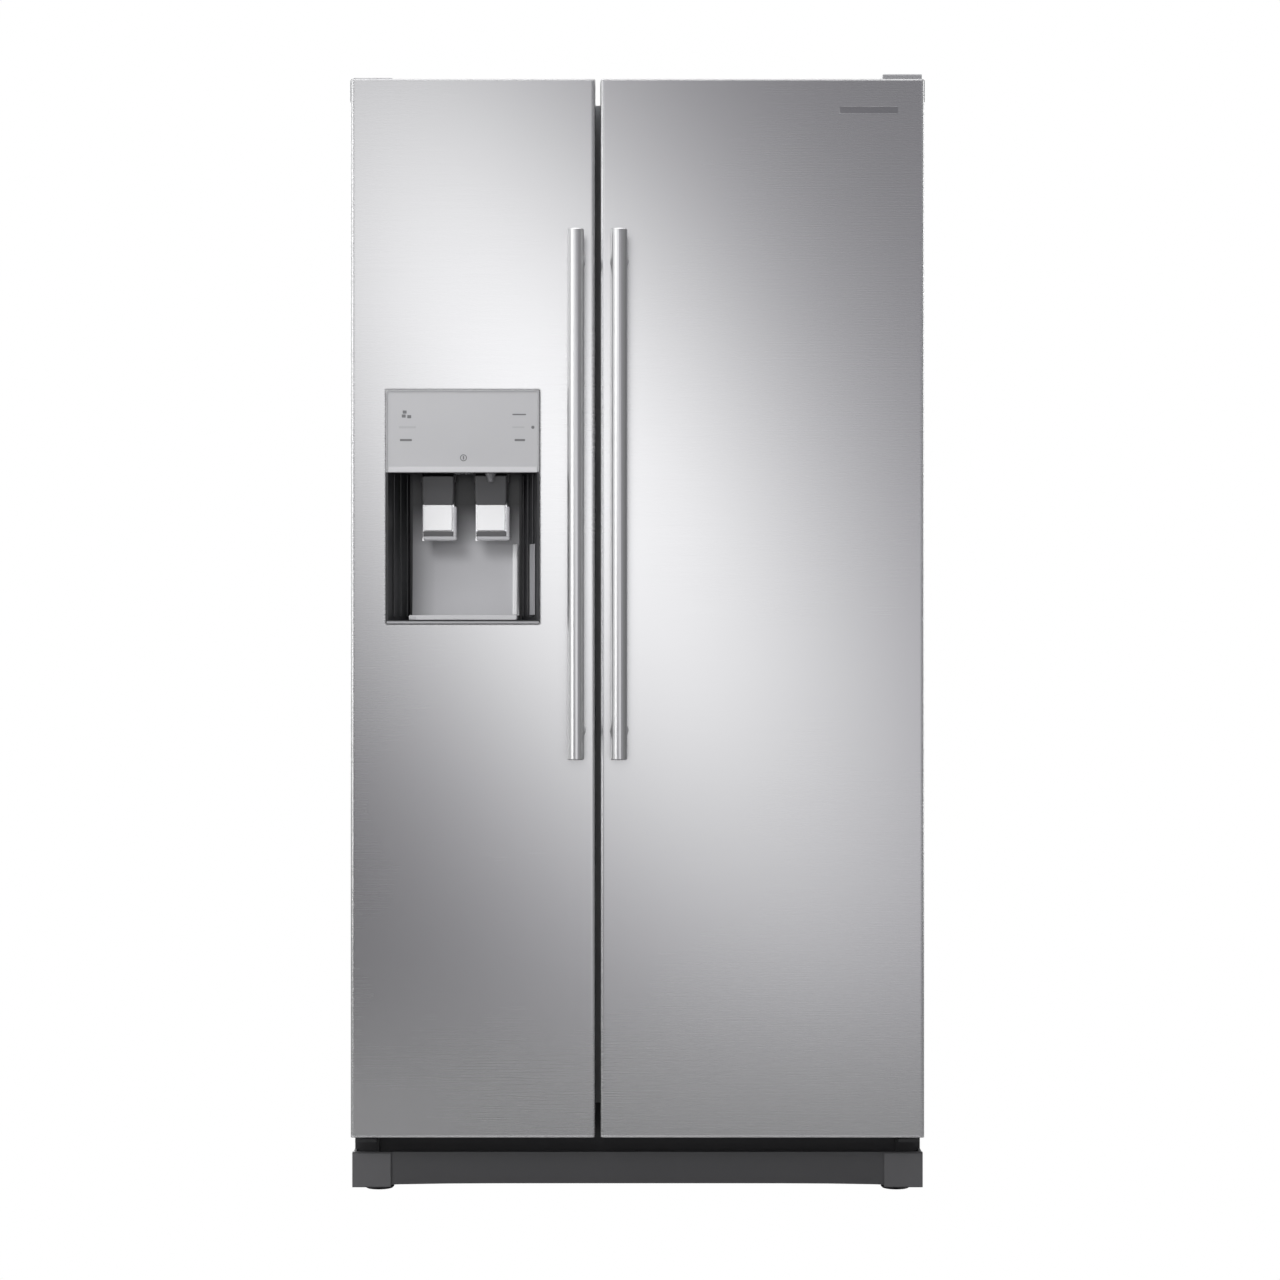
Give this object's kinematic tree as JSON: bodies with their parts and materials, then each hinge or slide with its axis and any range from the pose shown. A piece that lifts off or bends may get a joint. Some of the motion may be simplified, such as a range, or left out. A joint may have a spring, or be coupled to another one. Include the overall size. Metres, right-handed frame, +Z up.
{
  "type": "side by side refrigerator",
  "caption": "Tall two-door refrigerator with the freezer on the left, a recessed ice and water dispenser in its door, long bar handles, shelves, bins and drawers.",
  "frame": {"origin": "on the floor, under the middle of the overall box", "axes": "+X to the viewer's right, +Y from the doors to the back, +Z up"},
  "size_m": [0.912, 0.734, 1.789],
  "materials": {
    "brushed_steel": "brushed satin",
    "handle_aluminium": "satin anodised",
    "case_paint": "fine textured paint",
    "galvanised_steel": "galvanised",
    "black_steel": "black paint",
    "dark_plastic": "fine texture",
    "cap_plastic": "fine texture",
    "panel_plastic": "silver painted",
    "white_plastic": "smooth",
    "clear_plastic": "clear",
    "shelf_glass": "clear toughened",
    "gasket_rubber": "soft matt",
    "insulation_foam": "rigid foam",
    "copper_tube": "bare copper",
    "fin_aluminium": "bare",
    "lever_chrome": "silver plated plastic"
  },
  "bodies": {
    "cabinet": {"casing_shell": "case_paint", "back_panel": "galvanised_steel", "cabinet_insulation": "insulation_foam", "freezer_liner": "white_plastic", "fridge_liner": "white_plastic", "mullion_strip": "galvanised_steel", "chassis_frame": "black_steel", "toe_kick": "dark_plastic", "machine_room_cover": "galvanised_steel", "compressor": "black_steel", "condenser_coil": "copper_tube", "upper_hinge_left": "galvanised_steel", "upper_hinge_right": "galvanised_steel", "hinge_cover_left": "cap_plastic", "hinge_cover_right": "cap_plastic", "lower_hinge_left": "black_steel", "lower_hinge_right": "black_steel", "evaporator_cover": "white_plastic", "evaporator": "fin_aluminium", "fridge_air_duct": "white_plastic", "freezer_shelf_1": "shelf_glass", "freezer_shelf_2": "shelf_glass", "fridge_shelf_1": "shelf_glass", "fridge_shelf_2": "shelf_glass", "crisper_cover": "shelf_glass", "ice_maker": "white_plastic", "ice_bucket": "clear_plastic"},
    "freezer_door": {"freezer_door_skin": "brushed_steel", "freezer_door_top_cap": "cap_plastic", "freezer_door_insulation": "insulation_foam", "freezer_door_liner": "white_plastic", "freezer_door_gasket": "gasket_rubber", "freezer_door_handle": "handle_aluminium", "freezer_door_bin_1": "clear_plastic", "freezer_door_bin_2": "clear_plastic", "dispenser_housing": "dark_plastic", "control_panel": "panel_plastic", "drip_tray": "panel_plastic"},
    "fridge_door": {"fridge_door_skin": "brushed_steel", "fridge_door_top_cap": "cap_plastic", "fridge_door_insulation": "insulation_foam", "fridge_door_liner": "white_plastic", "fridge_door_gasket": "gasket_rubber", "fridge_door_handle": "handle_aluminium", "fridge_door_bin_1": "clear_plastic", "fridge_door_bin_2": "clear_plastic", "fridge_door_bin_3": "clear_plastic"},
    "ice_lever": {"ice_lever": "lever_chrome"},
    "water_lever": {"water_lever": "lever_chrome"},
    "condenser_fan": {"condenser_fan": "dark_plastic"},
    "evaporator_fan": {"evaporator_fan": "dark_plastic"},
    "ice_auger": {"ice_auger": "fin_aluminium"},
    "rear_roller_left": {"rear_roller_left": "dark_plastic"},
    "rear_roller_right": {"rear_roller_right": "dark_plastic"},
    "front_foot_left": {"front_foot_left": "dark_plastic"},
    "front_foot_right": {"front_foot_right": "dark_plastic"},
    "freezer_drawer_1": {"freezer_drawer_1": "clear_plastic"},
    "freezer_drawer_2": {"freezer_drawer_2": "clear_plastic"},
    "crisper_drawer_1": {"crisper_drawer_1": "clear_plastic"},
    "crisper_drawer_2": {"crisper_drawer_2": "clear_plastic"}
  },
  "joints": [
    {"name": "freezer_door_hinge", "type": "hinge", "parent": "cabinet", "child": "freezer_door", "pos_m": [-0.433, -0.269, 0.9], "axis": [0, 0, -1], "range_deg": [0, 135]},
    {"name": "fridge_door_hinge", "type": "hinge", "parent": "cabinet", "child": "fridge_door", "pos_m": [0.433, -0.269, 0.9], "axis": [0, 0, 1], "range_deg": [0, 135]},
    {"name": "ice_lever_hinge", "type": "hinge", "parent": "freezer_door", "child": "ice_lever", "pos_m": [-0.3195, -0.245, 1.14889], "axis": [1, 0, 0], "range_deg": [0, 12], "stiffness_Nm_per_rad": 0.3, "springref_deg": -8.59},
    {"name": "water_lever_hinge", "type": "hinge", "parent": "freezer_door", "child": "water_lever", "pos_m": [-0.2345, -0.245, 1.14889], "axis": [1, 0, 0], "range_deg": [0, 12], "stiffness_Nm_per_rad": 0.3, "springref_deg": -8.59},
    {"name": "freezer_drawer_1_slide", "type": "slide", "parent": "cabinet", "child": "freezer_drawer_1", "axis": [0, -1, 0], "range_m": [0, 0.21]},
    {"name": "freezer_drawer_2_slide", "type": "slide", "parent": "cabinet", "child": "freezer_drawer_2", "axis": [0, -1, 0], "range_m": [0, 0.21]},
    {"name": "crisper_drawer_1_slide", "type": "slide", "parent": "cabinet", "child": "crisper_drawer_1", "axis": [0, -1, 0], "range_m": [0, 0.21]},
    {"name": "crisper_drawer_2_slide", "type": "slide", "parent": "cabinet", "child": "crisper_drawer_2", "axis": [0, -1, 0], "range_m": [0, 0.21]},
    {"name": "condenser_fan_spin", "type": "hinge", "parent": "cabinet", "child": "condenser_fan", "pos_m": [0.05016, 0.2695, 0.155], "axis": [1, 0, 0], "continuous": true},
    {"name": "evaporator_fan_spin", "type": "hinge", "parent": "cabinet", "child": "evaporator_fan", "pos_m": [-0.2495, 0.255, 1.14975], "axis": [0, 1, 0], "continuous": true},
    {"name": "ice_auger_spin", "type": "hinge", "parent": "cabinet", "child": "ice_auger", "pos_m": [-0.3195, 0.161, 1.38089], "axis": [0, 1, 0], "continuous": true},
    {"name": "rear_roller_left_spin", "type": "hinge", "parent": "cabinet", "child": "rear_roller_left", "pos_m": [-0.385, 0.297, 0.022], "axis": [1, 0, 0], "continuous": true},
    {"name": "rear_roller_right_spin", "type": "hinge", "parent": "cabinet", "child": "rear_roller_right", "pos_m": [0.385, 0.297, 0.022], "axis": [1, 0, 0], "continuous": true},
    {"name": "front_foot_left_screw", "type": "hinge", "parent": "cabinet", "child": "front_foot_left", "pos_m": [-0.418, -0.2, 0.01], "axis": [0, 0, 1], "continuous": true},
    {"name": "front_foot_right_screw", "type": "hinge", "parent": "cabinet", "child": "front_foot_right", "pos_m": [0.418, -0.2, 0.01], "axis": [0, 0, 1], "continuous": true}
  ],
  "couplings": [
    {"joint": "freezer_drawer_1_slide", "follows": "freezer_door_hinge", "m_per_rad": 0.0891},
    {"joint": "freezer_drawer_2_slide", "follows": "freezer_door_hinge", "m_per_rad": 0.0891},
    {"joint": "crisper_drawer_1_slide", "follows": "fridge_door_hinge", "m_per_rad": 0.0891},
    {"joint": "crisper_drawer_2_slide", "follows": "fridge_door_hinge", "m_per_rad": 0.0891}
  ]
}
